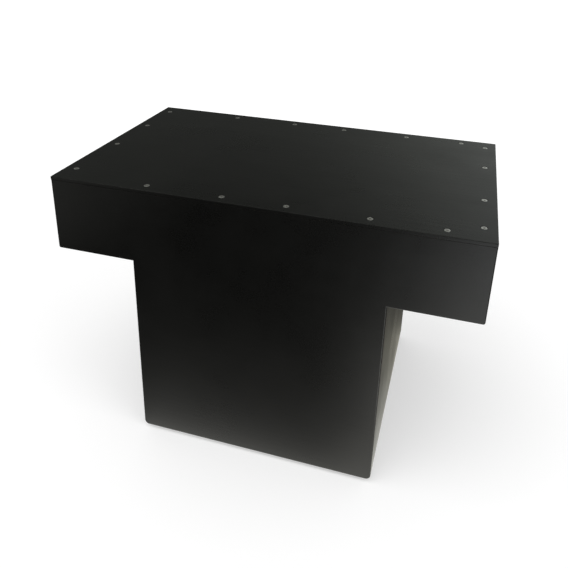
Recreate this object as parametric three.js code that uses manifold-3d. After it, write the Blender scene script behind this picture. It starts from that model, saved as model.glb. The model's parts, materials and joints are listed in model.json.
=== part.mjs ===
// A lap drum: a T-shaped plywood sound box with a thin screwed-on playing plate.
// Millimetres, +Z up. The origin is on the ground under the middle of the body, +X to the right of a viewer
// who looks at the broad closed face, and +Y away from that viewer, so the closed face is at -Y.

import * as THREE from "three";
import { mergeVertices } from "three/addons/utils/BufferGeometryUtils.js";
import Module from "manifold-3d";

const wasm = await Module();
wasm.setup();

// Body
const overallWidth = 500;
const overallDepth = 305;
const bodyHeight = 340; // from the underside of the leg to the playing surface
const boxHeight = 94; // the upper box with its plate
const legWidth = 300;
const plateThickness = 4;
const wallThickness = 9;
const glueGap = 0.2; // the line of glue between two boards
const edgeRound = 2; // the round-over of the front and rear edges
const cornerRound = 3; // the upper box's four long edges
const legCornerRound = 6; // the leg's two lower edges
const roundSteps = 3;
const overrun = 2; // how far a cutting shape runs past the board that it cuts

// Battens
const topBattenWidth = 15;
const topBattenHeight = 18;
const legBattenSide = 15;

// Sound port, a round hole in the leg of the rear panel
const portRadius = 50;
const portHeight = 110; // its centre above the leg's underside
const portSides = 32;

// Screws of the playing plate
const plateScrewHeadRadius = 3.75;
const plateScrewShankRadius = 1.75;
const plateScrewLength = 20;
const plateScrewHeadHeight = 2.4;
const plateScrewRim = 0.4;
const plateScrewTip = 3;
const plateScrewSink = 0.15; // the head's face lies this far under the plate's face
const plateScrewInset = 14; // from the edge of the plate to the row of screws
const screwClearance = 0.3;
const recessArm = 2.1;
const recessWidth = 1.1;
const recessDepth = 1.3;
const screwSides = 12;
const frontScrewShares = [0.234, 0.416, 0.564, 0.745, 0.901];
const rearScrewShares = [0.246, 0.427, 0.576, 0.757, 0.908];
const leftScrewShares = [0.104, 0.412, 0.688, 0.927];
const rightScrewShares = [0.104, 0.337, 0.676, 0.927];

// Snares
const snareBarWidth = 18;
const snareBarHeight = 20;
const snareBarDrop = 10; // from the plate's underside to the top of the bar
const snareForward = 40; // the wires lie this far towards the closed face
const strandCount = 10;
const strandPitch = 5;
const strandRadius = 1;
const strandLength = 80;
const strandRest = 0.3; // the running gap between a strand's end and the plate
const strandTipGap = 40; // from the strands' ends to the batten at the plate's side edge
const strandSides = 6;
const snareStripThickness = 1.2;
const snareStripMargin = 10; // the strip beyond the outer strands, which the clamp screws pass through
const snareStripOverhang = 3; // the strip past the bar's edge, where the strands start
const snareClampThickness = 1.5;
const snareClampWidth = 12;
const snareSeat = 0.3;
const clampScrewRadius = 1.5;
const clampScrewHeadRadius = 3;
const clampScrewHeadHeight = 2;
const clampScrewLength = 14;

// Feet
const footRadius = 10;
const footHeight = 5;
const footGroundShare = 0.9; // the radius on the ground as a share of the radius under the leg
const footInset = 30; // from the leg's outer faces to a foot's middle
const footRecessRadius = 5;
const footRecessDepth = 2.6;
const footScrewRadius = 1.75;
const footScrewHeadRadius = 3.8;
const footScrewHeadHeight = 1.6;
const footScrewBite = 7; // how far the foot's screw goes into the leg floor
const footSides = 20;

// Heights and inner faces that follow from those sizes
const plateTop = footHeight + bodyHeight;
const plateUnderside = plateTop - plateThickness;
const wallTop = plateUnderside - glueGap;
const wingUnderside = plateTop - boxHeight;
const wingFloorTop = wingUnderside + wallThickness;
const legFloorTop = footHeight + wallThickness;
const halfWidth = overallWidth / 2;
const halfDepth = overallDepth / 2;
const halfLeg = legWidth / 2;
const innerDepth = halfDepth - wallThickness - glueGap; // the faces that meet the front and rear panels
const innerWidth = halfWidth - wallThickness - glueGap;
const innerLeg = halfLeg - wallThickness - glueGap;

// From the middle of the drum to the middle of a snare bar
const strandReach = snareBarWidth / 2 + snareStripOverhang / 2 + strandLength;
const snareBarOffset = innerWidth - topBattenWidth - strandTipGap - strandReach;

// Finishes
const blackPaint = new THREE.MeshStandardMaterial({ color: 0x1c1c1b, roughness: 0.42, metalness: 0 });
const bareWood = new THREE.MeshStandardMaterial({ color: 0xc6a67a, roughness: 0.75, metalness: 0 });
const screwMetal = new THREE.MeshStandardMaterial({ color: 0x9d978b, roughness: 0.35, metalness: 1 });
const snareSteel = new THREE.MeshStandardMaterial({ color: 0xb9bcc0, roughness: 0.3, metalness: 1 });
const footRubber = new THREE.MeshStandardMaterial({ color: 0x161616, roughness: 0.9, metalness: 0 });

// A closed geometry as a solid that can be joined and cut
function solidOf(geometry) {
  const bare = geometry.clone();
  bare.deleteAttribute("normal");
  bare.deleteAttribute("uv");
  const merged = mergeVertices(bare);
  return new wasm.Manifold(
    new wasm.Mesh({
      numProp: 3,
      vertProperties: merged.attributes.position.array,
      triVerts: new Uint32Array(merged.index.array),
    }),
  );
}

// A solid as a mesh with a node's name
function part(name, solid, material) {
  const made = solid.getMesh();
  const geometry = new THREE.BufferGeometry();
  geometry.setAttribute("position", new THREE.BufferAttribute(made.vertProperties, 3));
  geometry.setIndex(new THREE.BufferAttribute(made.triVerts, 1));
  const mesh = new THREE.Mesh(geometry, material);
  mesh.name = name;
  return mesh;
}

// A board between two opposite corners
function board([x0, y0, z0], [x1, y1, z1]) {
  const geometry = new THREE.BoxGeometry(Math.abs(x1 - x0), Math.abs(y1 - y0), Math.abs(z1 - z0));
  geometry.translate((x0 + x1) / 2, (y0 + y1) / 2, (z0 + z1) / 2);
  return solidOf(geometry);
}

// A shape turned about the upright axis, from [radius, height] points that start and end on the axis
function turned(profile, sides) {
  const points = profile.map(([radius, height]) => new THREE.Vector2(radius, height));
  const geometry = new THREE.LatheGeometry(points, sides);
  geometry.rotateX(Math.PI / 2);
  return solidOf(geometry);
}

// A straight round pin between two heights
function pin(radius, low, high, sides) {
  return turned([[0, low], [radius, low], [radius, high], [0, high]], sides);
}

// A straight round rod between two points
function rod(start, end, radius, sides) {
  const from = new THREE.Vector3(...start);
  const along = new THREE.Vector3(...end).sub(from);
  const geometry = new THREE.CylinderGeometry(radius, radius, along.length(), sides);
  geometry.translate(0, along.length() / 2, 0);
  const up = new THREE.Vector3(0, 1, 0);
  geometry.applyQuaternion(new THREE.Quaternion().setFromUnitVectors(up, along.normalize()));
  geometry.translate(from.x, from.y, from.z);
  return solidOf(geometry);
}

// The outline of the body: a T with round outer corners, drawn from corner to corner with its radius
function bodyOutline() {
  const corners = [
    [-halfLeg, footHeight, legCornerRound],
    [halfLeg, footHeight, legCornerRound],
    [halfLeg, wingUnderside, 0],
    [halfWidth, wingUnderside, cornerRound],
    [halfWidth, plateTop, cornerRound],
    [-halfWidth, plateTop, cornerRound],
    [-halfWidth, wingUnderside, cornerRound],
    [-halfLeg, wingUnderside, 0],
  ];
  const outline = new THREE.Shape();
  corners.forEach(([x, z, radius], i) => {
    const [beforeX, beforeZ] = corners[(i + corners.length - 1) % corners.length];
    const [afterX, afterZ] = corners[(i + 1) % corners.length];
    const startX = x + Math.sign(beforeX - x) * radius;
    const startZ = z + Math.sign(beforeZ - z) * radius;
    if (i === 0) {
      outline.moveTo(startX, startZ);
    } else {
      outline.lineTo(startX, startZ);
    }
    if (radius > 0) {
      const turnX = startX + Math.sign(afterX - x) * radius;
      const turnZ = startZ + Math.sign(afterZ - z) * radius;
      const from = Math.atan2(startZ - turnZ, startX - turnX);
      outline.absarc(turnX, turnZ, radius, from, from + Math.PI / 2, false);
    }
  });
  return outline;
}

// The whole outer form, with its front and rear edges rounded over. Every outer board is cut out of it.
function bodyForm() {
  const geometry = new THREE.ExtrudeGeometry(bodyOutline(), {
    depth: overallDepth - 2 * edgeRound,
    bevelThickness: edgeRound,
    bevelSize: edgeRound,
    bevelOffset: -edgeRound,
    bevelSegments: roundSteps,
    curveSegments: roundSteps,
  });
  geometry.rotateX(Math.PI / 2);
  geometry.translate(0, halfDepth - edgeRound, 0);
  return solidOf(geometry);
}

const form = bodyForm();

// The eighteen places of the plate's screws, each with the batten under it
function plateScrewPlaces() {
  const row = (shares, y, batten) =>
    shares.map((share) => ({ x: share * overallWidth - halfWidth, y, batten }));
  const column = (shares, x, batten) =>
    shares.map((share) => ({ x, y: share * overallDepth - halfDepth, batten }));
  return [
    ...row(frontScrewShares, plateScrewInset - halfDepth, "front"),
    ...column(rightScrewShares, halfWidth - plateScrewInset, "right"),
    ...row(rearScrewShares, halfDepth - plateScrewInset, "rear"),
    ...column(leftScrewShares, plateScrewInset - halfWidth, "left"),
  ];
}

const screwPlaces = plateScrewPlaces();

// A countersunk screw's side, grown by a clearance; the head's face is at height zero
function plateScrewSide(clearance) {
  const shank = plateScrewShankRadius + clearance;
  const head = plateScrewHeadRadius + clearance;
  return [
    [0, -plateScrewLength - clearance],
    [shank, plateScrewTip - plateScrewLength],
    [shank, -plateScrewHeadHeight - clearance],
    [head, -plateScrewRim - clearance],
  ];
}

// The screw itself, with the cross recess in its head
function plateScrew() {
  const body = turned([...plateScrewSide(0), [plateScrewHeadRadius, 0], [0, 0]], screwSides);
  const half = recessWidth / 2;
  const arm = (x, y) => board([-x, -y, -recessDepth], [x, y, overrun]);
  return body.subtract(arm(recessArm, half).add(arm(half, recessArm)));
}

// The hole that the screw sits in: a clearance round it, open upwards
function plateScrewHole() {
  const head = plateScrewHeadRadius + screwClearance;
  return turned([...plateScrewSide(screwClearance), [head, overrun], [0, overrun]], screwSides);
}

// Cuts the holes of some of the plate's screws out of a board
function withScrewHoles(solid, places) {
  const hole = plateScrewHole();
  return places.reduce(
    (left, { x, y }) => left.subtract(hole.translate([x, y, plateTop - plateScrewSink])),
    solid,
  );
}

function topPlate() {
  const sheet = board([-halfWidth, -halfDepth, plateUnderside], [halfWidth, halfDepth, plateTop]);
  return part("top_plate", withScrewHoles(form.intersect(sheet), screwPlaces), blackPaint);
}

function plateScrews() {
  const solid = plateScrew();
  return screwPlaces.map(({ x, y }, i) => {
    const screw = part("top_plate_screw_" + String(i + 1).padStart(2, "0"), solid, screwMetal);
    screw.position.set(x, y, plateTop - plateScrewSink);
    return screw;
  });
}

// The T-shaped board that the viewer sees
function frontPanel() {
  const slab = board([-halfWidth, -halfDepth, 0], [halfWidth, wallThickness - halfDepth, wallTop]);
  return part("front_panel", form.intersect(slab), blackPaint);
}

// Its twin at the back, with the round sound port in the leg
function rearPanel() {
  const slab = board([-halfWidth, halfDepth - wallThickness, 0], [halfWidth, halfDepth, wallTop]);
  const centre = footHeight + portHeight;
  const port = rod(
    [0, halfDepth - wallThickness - overrun, centre],
    [0, halfDepth + overrun, centre],
    portRadius,
    portSides,
  );
  return part("rear_panel", form.intersect(slab).subtract(port), blackPaint);
}

// The boards of one side; side is -1 for left and 1 for right
function sideBoards(side, name) {
  const end = board(
    [side * halfWidth, -innerDepth, wingUnderside],
    [side * (halfWidth - wallThickness), innerDepth, wallTop],
  );
  const floor = board(
    [side * innerWidth, -innerDepth, wingUnderside],
    [side * (halfLeg + glueGap), innerDepth, wingFloorTop],
  );
  const legSide = board(
    [side * halfLeg, -innerDepth, 0],
    [side * (halfLeg - wallThickness), innerDepth, wingFloorTop],
  );
  return [
    part(name + "_end_panel", form.intersect(end), blackPaint),
    part(name + "_wing_floor", floor, blackPaint),
    part("leg_" + name + "_side", form.intersect(legSide), blackPaint),
  ];
}

// The four places of the feet
const footPlaces = [-1, 1].flatMap((sideY) =>
  [-1, 1].map((sideX) => ({ x: sideX * (halfLeg - footInset), y: sideY * (halfDepth - footInset) })),
);

function legFloor() {
  const slab = board([-innerLeg, -innerDepth, footHeight], [innerLeg, innerDepth, legFloorTop]);
  const pilotTop = footHeight + footScrewBite + screwClearance;
  const pilot = pin(footScrewRadius + screwClearance, footHeight - overrun, pilotTop, screwSides);
  const drilled = footPlaces.reduce((left, { x, y }) => left.subtract(pilot.translate([x, y, 0])), slab);
  return part("leg_floor", drilled, blackPaint);
}

// The battens under the plate. The left and right ones run the whole inner depth, the others fit between them.
function topBattens() {
  const low = wallTop - topBattenHeight;
  const between = innerWidth - topBattenWidth - glueGap;
  const bars = {
    front: board([-between, -innerDepth, low], [between, topBattenWidth - innerDepth, wallTop]),
    rear: board([-between, innerDepth - topBattenWidth, low], [between, innerDepth, wallTop]),
    left: board([-innerWidth, -innerDepth, low], [topBattenWidth - innerWidth, innerDepth, wallTop]),
    right: board([innerWidth - topBattenWidth, -innerDepth, low], [innerWidth, innerDepth, wallTop]),
  };
  return Object.entries(bars).map(([name, bar]) => {
    const places = screwPlaces.filter((place) => place.batten === name);
    return part(name + "_top_batten", withScrewHoles(bar, places), bareWood);
  });
}

// The upright glue blocks in the four corners of the leg
function legBattens() {
  const low = legFloorTop + glueGap;
  const high = wingFloorTop;
  const middleX = innerLeg - legBattenSide / 2;
  const middleY = innerDepth - legBattenSide / 2;
  const half = legBattenSide / 2;
  const solid = board([-half, -half, low], [half, half, high]);
  const corners = [
    ["front_left", -1, -1],
    ["front_right", 1, -1],
    ["rear_left", -1, 1],
    ["rear_right", 1, 1],
  ];
  return corners.map(([name, sideX, sideY]) => {
    const batten = part("leg_batten_" + name, solid, bareWood);
    batten.position.set(sideX * middleX, sideY * middleY, 0);
    return batten;
  });
}

// One snare, in its own frame: the origin is in the middle of the bar's top, and the strands run to +X
const strandSpan = (strandCount - 1) * strandPitch;
const snareStripLength = strandSpan + 2 * snareStripMargin;
const clampScrewPlace = (snareStripLength - snareStripMargin) / 2;
const snareClampOuter = snareBarWidth / 2;
const snareClampInner = snareClampOuter - snareClampWidth;
const snareClampMiddle = (snareClampOuter + snareClampInner) / 2;
const stripLow = snareSeat;
const stripHigh = stripLow + snareStripThickness;
const clampLow = stripHigh + snareSeat;
const clampHigh = clampLow + snareClampThickness;

// Cuts the two clamp screws' holes
function withClampHoles(solid) {
  const hole = pin(
    clampScrewRadius + screwClearance,
    clampHigh - clampScrewLength - screwClearance,
    clampHigh + overrun,
    screwSides,
  );
  return [-1, 1].reduce(
    (left, side) => left.subtract(hole.translate([snareClampMiddle, side * clampScrewPlace, 0])),
    solid,
  );
}

function snareBar(side) {
  const reach = innerDepth - topBattenWidth - snareSeat;
  const shift = side * snareForward;
  const bar = board(
    [-snareBarWidth / 2, shift - reach, -snareBarHeight],
    [snareBarWidth / 2, shift + reach, 0],
  );
  return withClampHoles(bar);
}

// The end strip with its strands, which rise until they just miss the plate
function snareWires() {
  const half = snareStripLength / 2;
  const stripEnd = snareClampOuter + snareStripOverhang;
  const strip = withClampHoles(board([snareClampInner, -half, stripLow], [stripEnd, half, stripHigh]));
  const startX = snareClampOuter + snareStripOverhang / 2;
  const startZ = (stripLow + stripHigh) / 2;
  const endZ = snareBarDrop - strandRest - strandRadius;
  const strands = Array.from({ length: strandCount }, (_, i) => {
    const y = i * strandPitch - strandSpan / 2;
    return rod([startX, y, startZ], [startX + strandLength, y, endZ], strandRadius, strandSides);
  });
  return strands.reduce((joined, strand) => joined.add(strand), strip);
}

function snareClamp() {
  const half = snareStripLength / 2;
  return withClampHoles(board([snareClampInner, -half, clampLow], [snareClampOuter, half, clampHigh]));
}

// A pan-head screw whose head sits on height zero
function panScrew(radius, headRadius, headHeight, length) {
  const body = turned(
    [[0, -length], [radius, radius - length], [radius, 0], [headRadius, 0], [headRadius, headHeight / 2],
      [headRadius / 2, headHeight], [0, headHeight]],
    screwSides,
  );
  const arm = (x, y) => board([-x, -y, headHeight / 2], [x, y, headHeight + overrun]);
  return body.subtract(arm(headRadius / 2, recessWidth / 2).add(arm(recessWidth / 2, headRadius / 2)));
}

// Both snares. The left one is turned half round, so its strands run to the left.
function snareSets() {
  const screwSolid = panScrew(clampScrewRadius, clampScrewHeadRadius, clampScrewHeadHeight, clampScrewLength);
  return [["left", -1], ["right", 1]].map(([name, side]) => {
    const set = new THREE.Group();
    set.add(part(name + "_snare_bar", snareBar(side), bareWood));
    set.add(part(name + "_snare_wires", snareWires(), snareSteel));
    set.add(part(name + "_snare_clamp", snareClamp(), snareSteel));
    [["front", -side], ["rear", side]].forEach(([end, place]) => {
      const screw = part(name + "_snare_screw_" + end, screwSolid, screwMetal);
      screw.position.set(snareClampMiddle, place * clampScrewPlace, clampHigh + snareSeat);
      set.add(screw);
    });
    set.rotation.z = side > 0 ? 0 : Math.PI;
    set.position.set(side * snareBarOffset, -snareForward, plateUnderside - snareBarDrop);
    return set;
  });
}

// A rubber foot with a recess for its screw's head, standing on the ground
function foot() {
  const high = footHeight - glueGap;
  const ground = footRadius * footGroundShare;
  const cone = turned([[0, 0], [ground, 0], [footRadius, high], [0, high]], footSides);
  const recess = pin(footRecessRadius, -overrun, footRecessDepth, footSides);
  const hole = pin(footScrewRadius + screwClearance, 0, footHeight + overrun, screwSides);
  return cone.subtract(recess).subtract(hole);
}

function feet() {
  const footSolid = foot();
  const length = footHeight + footScrewBite - footRecessDepth;
  const screwSolid = panScrew(footScrewRadius, footScrewHeadRadius, footScrewHeadHeight, length);
  return footPlaces.flatMap(({ x, y }, i) => {
    const name = (y < 0 ? "front" : "rear") + (x < 0 ? "_left" : "_right");
    const pad = part("foot_" + name, footSolid, footRubber);
    pad.position.set(x, y, 0);
    const screw = part("foot_screw_" + name, screwSolid, screwMetal);
    screw.rotation.x = Math.PI;
    screw.position.set(x, y, footRecessDepth - glueGap);
    return [pad, screw];
  });
}

const drum = new THREE.Group();
drum.add(topPlate(), ...plateScrews());
drum.add(frontPanel(), rearPanel(), ...sideBoards(-1, "left"), ...sideBoards(1, "right"), legFloor());
drum.add(...topBattens(), ...legBattens());
drum.add(...snareSets());
drum.add(...feet());

export default drum;
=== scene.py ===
# %% [markdown]
# # A painted lap drum
#
# A lap drum is a T-shaped box of plywood. The player sits, lays its two wings over the thighs and plays the
# thin plate on top with both hands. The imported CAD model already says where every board, batten and screw
# goes. This script keeps those places and makes each piece again as a maker would see it: boards with
# rounded and painted edges, a screwed plate, a routed sound port, wound snare wires and moulded feet.
#
# One unit is one metre, +Z is up, and the closed T-shaped panel faces -Y.

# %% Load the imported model
import json
import math

import bmesh
import bpy
from mathutils import Matrix, Vector

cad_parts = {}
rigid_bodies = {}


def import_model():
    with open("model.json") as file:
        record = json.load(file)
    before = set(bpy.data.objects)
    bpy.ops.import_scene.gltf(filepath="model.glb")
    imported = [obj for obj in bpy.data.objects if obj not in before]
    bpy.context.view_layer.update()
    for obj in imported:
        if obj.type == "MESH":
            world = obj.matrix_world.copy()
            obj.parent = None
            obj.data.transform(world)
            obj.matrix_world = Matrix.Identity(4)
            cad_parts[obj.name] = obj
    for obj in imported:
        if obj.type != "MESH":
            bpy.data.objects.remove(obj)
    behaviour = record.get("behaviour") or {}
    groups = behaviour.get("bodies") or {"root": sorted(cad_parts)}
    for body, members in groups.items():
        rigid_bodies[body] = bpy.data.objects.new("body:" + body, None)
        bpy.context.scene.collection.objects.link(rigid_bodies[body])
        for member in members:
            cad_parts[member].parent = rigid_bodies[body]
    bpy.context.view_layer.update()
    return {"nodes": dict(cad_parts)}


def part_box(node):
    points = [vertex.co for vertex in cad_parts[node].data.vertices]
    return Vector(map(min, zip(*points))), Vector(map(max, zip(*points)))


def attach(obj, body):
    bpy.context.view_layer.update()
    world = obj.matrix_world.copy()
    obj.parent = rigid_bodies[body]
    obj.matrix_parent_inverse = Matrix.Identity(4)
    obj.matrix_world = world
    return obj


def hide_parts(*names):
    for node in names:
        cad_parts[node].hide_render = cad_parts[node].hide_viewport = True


for thing in list(bpy.data.objects):
    bpy.data.objects.remove(thing, do_unlink=True)

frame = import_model()
MM = 0.001

# %% [markdown]
# ## Camera
#
# The photographer stands in front of the drum, a little to its right, and looks down on the plate. A camera
# can be placed by eye, but then every later comparison is against a wrong outline. Here the corners of the
# boards were matched to the photograph once, and the result is written down as a place, three angles and a
# lens. The lens points at the plate, so the frame is shifted down from there to have the leg in it too.

# %% Place the camera
CAMERA_PLACE = (0.19908, -0.727889, 0.63407)
CAMERA_HEADING = 15.872048
CAMERA_PITCH = 22.039252
CAMERA_ROLL = 1.546608
LENS = 40.093876
SHIFT = (-0.00465268, -0.2)
DRUM_MIDDLE = (0, 0, 0.17)

eye = bpy.data.cameras.new("photo_camera")
eye.sensor_width = 36.0
eye.lens = LENS
eye.shift_x, eye.shift_y = SHIFT
eye.clip_start, eye.clip_end = 0.01, 60.0
camera = bpy.data.objects.new("photo_camera", eye)
bpy.context.scene.collection.objects.link(camera)
camera.matrix_world = (
    Matrix.Translation(CAMERA_PLACE)
    @ Matrix.Rotation(math.radians(CAMERA_HEADING), 4, "Z")
    @ Matrix.Rotation(math.radians(90 - CAMERA_PITCH), 4, "X")
    @ Matrix.Rotation(math.radians(CAMERA_ROLL), 4, "Z")
)
bpy.context.scene.camera = camera
bpy.context.scene.view_settings.view_transform = "Standard"
print("Camera is", round((Vector(CAMERA_PLACE) - Vector(DRUM_MIDDLE)).length, 3), "m from the drum")

# %% [markdown]
# ## Node trees in a few words
#
# Materials and Geometry Nodes are both trees of nodes. One helper adds a node, sets its options and fills
# its inputs: a plain value goes into the socket, and another node's output is linked to it. That keeps the
# cells below about wood, paint and wire, and not about wiring.

# %% A helper that adds a node
def add(tree, kind, inputs=None, **options):
    """Adds a node. An input is a value, or the socket that feeds it."""
    node = tree.nodes.new(kind)
    for option, value in options.items():
        setattr(node, option, value)
    for key, value in (inputs or {}).items():
        if isinstance(value, bpy.types.NodeSocket):
            tree.links.new(value, node.inputs[key])
        else:
            node.inputs[key].default_value = value
    return node


def ramp(tree, factor, low, high, start=0.0, end=1.0):
    """Maps a factor from low..high to start..end, and holds it there."""
    node = add(tree, "ShaderNodeMapRange", {0: factor, 1: low, 2: high, 3: start, 4: end})
    node.clamp = True
    return node.outputs["Result"]


def math_node(tree, operation, *values):
    """One step of arithmetic in a tree."""
    return add(tree, "ShaderNodeMath", dict(enumerate(values)), operation=operation).outputs[0]


def vary(tree, factor, first, second):
    """A colour between two colours."""
    node = add(tree, "ShaderNodeMix", {"Factor": factor, 6: first, 7: second}, data_type="RGBA")
    return node.outputs[2]


print("Node helpers: add, ramp, math_node, vary")

# %% [markdown]
# ## Stage and light
#
# The picture around the drum is pure white, and a black satin face shows its surroundings more than its own
# colour. It is light low on the leg, dark in the middle, and lighter and cooler towards the right, as if a
# bright sheet lay under the drum in a dim room with a window. A panorama picture could be mirrored, but
# soft spots of light, each with a place, a width and a strength, can be tuned one by one and need no
# picture. So the floor and the sky are white where the camera looks at them, and have those spots where
# the paint mirrors them. The lamps stay at a plain level, at which a colour renders about as it is
# written, and the floor keeps the drum's shadow.

# %% The floor, white to the eye and graded in a reflection
FLOOR_SIZE = 24.0
FLOOR_GREY = (0.70, 0.70, 0.70, 1)
EYE_RAMP = (0.5, 2.0, 0.38, 0.7)  # light for the camera alone: near and far distance, near and far strength
ROOM_RAMP = (1.0, 2.4, 0.02, 0.3)  # light for a reflection alone, in the same order
FOOT_GLOWS = ((0.02, 1.25), (0.07, 0.57), (0.14, 0.15), (0.30, 0.04))  # round the leg, as (reach, strength)
SHEET_PATCHES = [  # soft patches of light on the sheet, as (x, y, width, strength)
    (0.15, -0.19, 0.05, 0.55),
    (0.25, -0.30, 0.10, 2.34),
    (0.20, -0.42, 0.12, 0.43),
    (0.36, -0.48, 0.10, 0.55),
    (0.38, -0.61, 0.15, 2.05),
    (0.45, -0.90, 0.18, 2.35),
    (0.08, -0.82, 0.18, 0.15),
    (-0.70, -0.64, 0.14, 0.38),
    (-0.95, -0.85, 0.20, 0.50),
    (1.10, 0.60, 0.50, 0.35),
    (-1.00, 0.20, 0.50, 0.25),
    (0.75, 0.28, 0.25, 0.45),
    (0.45, 0.74, 0.24, 0.50),
    (-0.85, -0.12, 0.25, 0.40),
]
SHEET_HUE = (1.0, 1.0, 0.94, 1)
WARM_HUE = (0.52, 0.505, 0.42, 1)
WARM_SPOT = (0.21, 0.15, 0.26)  # a warmer, dimmer place of the sheet, as (x, y, width)
COOL_HUE = (0.96, 1.0, 1.03, 1)
COOL_SPOT = (0.45, -0.85, 0.34)  # a cooler place, nearer to the window

stage_finish = bpy.data.materials.new("white_sheet")
stage_finish.use_nodes = True
tree = stage_finish.node_tree
tree.nodes.clear()
rays = add(tree, "ShaderNodeLightPath").outputs
ground = add(tree, "ShaderNodeNewGeometry").outputs["Position"]
apart = add(tree, "ShaderNodeSeparateXYZ", {0: ground}).outputs
plain = add(tree, "ShaderNodeBsdfDiffuse", {"Color": FLOOR_GREY}).outputs[0]

beyond = []  # how far a place is from the leg's footprint, squared, in x and in y
for label, edge in zip("XY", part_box("leg_floor")[1]):
    past = math_node(tree, "SUBTRACT", math_node(tree, "ABSOLUTE", apart[label]), edge)
    beyond.append(math_node(tree, "POWER", math_node(tree, "MAXIMUM", past, 0.0), 2.0))
away = math_node(tree, "SQRT", math_node(tree, "ADD", *beyond))


def soft_spot(x, y, width):
    """One at a place on the sheet, fading to nothing round it."""
    apart_by = add(tree, "ShaderNodeVectorMath", {0: ground, 1: (x, y, 0)}, operation="DISTANCE")
    share = math_node(tree, "POWER", math_node(tree, "DIVIDE", apart_by.outputs["Value"], width), 2.0)
    return math_node(tree, "EXPONENT", math_node(tree, "MULTIPLY", share, -1.0))


glow = ramp(tree, away, *ROOM_RAMP)
for reach, strength in FOOT_GLOWS:
    near_foot = math_node(tree, "EXPONENT", math_node(tree, "DIVIDE", away, -reach))
    glow = math_node(tree, "MULTIPLY_ADD", near_foot, strength, glow)
for x, y, width, strength in SHEET_PATCHES:
    glow = math_node(tree, "MULTIPLY_ADD", soft_spot(x, y, width), strength, glow)
hue = vary(tree, soft_spot(*WARM_SPOT), SHEET_HUE, WARM_HUE)
hue = vary(tree, soft_spot(*COOL_SPOT), hue, COOL_HUE)
lift = add(tree, "ShaderNodeEmission", {"Strength": ramp(tree, away, *EYE_RAMP)}).outputs[0]
seen = add(tree, "ShaderNodeAddShader", {0: plain, 1: lift}).outputs[0]
mirrored = add(tree, "ShaderNodeEmission", {"Color": hue, "Strength": glow}).outputs[0]
looked_at = math_node(tree, "MAXIMUM", rays["Is Camera Ray"], rays["Is Transmission Ray"])
to_eye = add(tree, "ShaderNodeMixShader", {0: looked_at, 1: plain, 2: seen}).outputs[0]
to_gloss = add(tree, "ShaderNodeMixShader", {0: rays["Is Glossy Ray"], 1: to_eye, 2: mirrored}).outputs[0]
add(tree, "ShaderNodeOutputMaterial", {"Surface": to_gloss})

half = FLOOR_SIZE / 2
sheet_corners = [(-half, -half, 0), (half, -half, 0), (half, half, 0), (-half, half, 0)]
sheet_mesh = bpy.data.meshes.new("floor")
sheet_mesh.from_pydata(sheet_corners, [], [(0, 1, 2, 3)])
sheet_mesh.materials.append(stage_finish)
floor = bpy.data.objects.new("floor", sheet_mesh)
bpy.context.scene.collection.objects.link(floor)
print("Floor:", FLOOR_SIZE, "m wide, with", len(SHEET_PATCHES), "patches of light in its reflection")

# %% The sky, white to the eye, even for diffuse light and graded in a reflection
SKY_LEVEL = 0.75
SKY_BASE = 0.03
RING_LEVEL = 0.14  # a faint band of light along the horizon
RING_WIDTH = 0.12
SKY_LOBES = [  # soft lobes of light in a reflection, as (azimuth, elevation, sharpness, strength)
    (0, 14, 60, 0.05),
    (12, 18, 40, 0.55),
    (20, 24, 30, 0.29),
    (-20, 10, 40, 0.055),
    (-5, 8, 60, 0.125),
    (-40, 20, 20, 0.03),
    (0, 72, 16, 0.50),
    (168, 60, 14, 0.85),
    (-78, 24, 12, 0.45),
    (100, 16, 10, 0.40),
    (140, 16, 12, 0.40),
    (-130, 16, 12, 0.35),
    (162, 2, 25, 0.45),
    (76, 2, 22, 0.50),
    (-98, 2, 20, 0.40),
    (-155, 3, 22, 0.35),
]
SKY_HUE = (0.95, 1.0, 0.92, 1)
COOL_SKY_HUE = (0.94, 1.0, 1.06, 1)
COOL_SKY = (22, 22, 30)  # the window's side, as (azimuth, elevation, sharpness)

world = bpy.data.worlds.new("soft_studio")
bpy.context.scene.world = world
world.use_nodes = True
tree = world.node_tree
tree.nodes.clear()
rays = add(tree, "ShaderNodeLightPath").outputs
look = add(tree, "ShaderNodeTexCoord").outputs["Generated"]


def soft_lobe(azimuth, elevation, sharpness):
    """One towards a place in the sky, fading to nothing round it. Its azimuth goes from +Y towards +X."""
    turn, rise = math.radians(azimuth), math.radians(elevation)
    toward = (math.sin(turn) * math.cos(rise), math.cos(turn) * math.cos(rise), math.sin(rise))
    match = add(tree, "ShaderNodeVectorMath", {0: look, 1: toward}, operation="DOT_PRODUCT").outputs["Value"]
    off_by = math_node(tree, "SUBTRACT", match, 1.0)
    return math_node(tree, "EXPONENT", math_node(tree, "MULTIPLY", off_by, sharpness))


upward = math_node(tree, "ABSOLUTE", add(tree, "ShaderNodeSeparateXYZ", {0: look}).outputs["Z"])
off_ring = math_node(tree, "POWER", math_node(tree, "DIVIDE", upward, RING_WIDTH), 2.0)
ring = math_node(tree, "EXPONENT", math_node(tree, "MULTIPLY", off_ring, -1.0))
graded = math_node(tree, "MULTIPLY_ADD", ring, RING_LEVEL, SKY_BASE)
for azimuth, elevation, sharpness, strength in SKY_LOBES:
    graded = math_node(tree, "MULTIPLY_ADD", soft_lobe(azimuth, elevation, sharpness), strength, graded)
looked_at = math_node(tree, "MAXIMUM", rays["Is Camera Ray"], rays["Is Transmission Ray"])
level = math_node(tree, "MAXIMUM", looked_at, SKY_LEVEL)
off_gloss = math_node(tree, "SUBTRACT", 1.0, rays["Is Glossy Ray"])
in_gloss = math_node(tree, "MULTIPLY", graded, rays["Is Glossy Ray"])
hue = vary(tree, soft_lobe(*COOL_SKY), SKY_HUE, COOL_SKY_HUE)
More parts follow.
